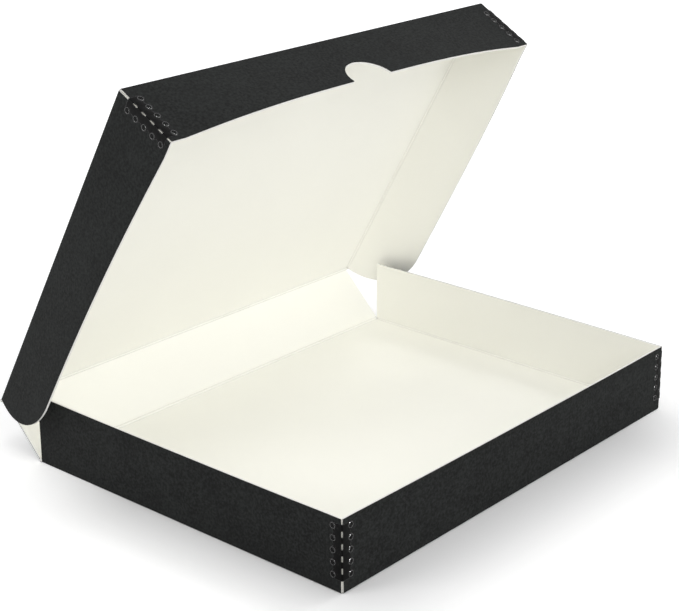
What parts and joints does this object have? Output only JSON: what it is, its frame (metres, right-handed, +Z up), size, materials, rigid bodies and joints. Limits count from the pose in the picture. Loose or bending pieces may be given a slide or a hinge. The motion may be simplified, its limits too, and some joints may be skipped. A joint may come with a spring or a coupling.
{
  "type": "archival clamshell box",
  "caption": "Shallow storage box folded from black-faced board: a tray, a spine and a hinged lid with a thumb notch, its front corners held by pressed metal stays.",
  "frame": {"origin": "the middle of the underside of the tray, on the plane that the box stands on", "axes": "+X runs along the spine to the right, seen from the front; +Y runs back from the tray's front wall to the spine; +Z points up"},
  "size_m": [0.3324, 0.2742, 0.2447],
  "materials": {
    "board_core": "smooth uncoated cream lining, pale at the cut edges",
    "black_facing": "matte black, finely mottled",
    "stay_metal": "black enamel, semi-gloss"
  },
  "bodies": {
    "tray": {"tray_board": "board_core", "tray_facing": "black_facing", "tray_left_stay": "stay_metal", "tray_right_stay": "stay_metal"},
    "spine": {"spine_board": "board_core", "spine_facing": "black_facing"},
    "lid": {"lid_board": "board_core", "lid_facing": "black_facing", "lid_left_stay": "stay_metal", "lid_right_stay": "stay_metal"}
  },
  "joints": [
    {"name": "spine_fold", "type": "hinge", "parent": "tray", "child": "spine", "pos_m": [0, 0.1211, 0.0012], "axis": [-1, 0, 0], "range_deg": [-45, 45]},
    {"name": "lid_fold", "type": "hinge", "parent": "spine", "child": "lid", "pos_m": [0, 0.15207, 0.03217], "axis": [-1, 0, 0], "range_deg": [-15.5, 74.5]}
  ]
}
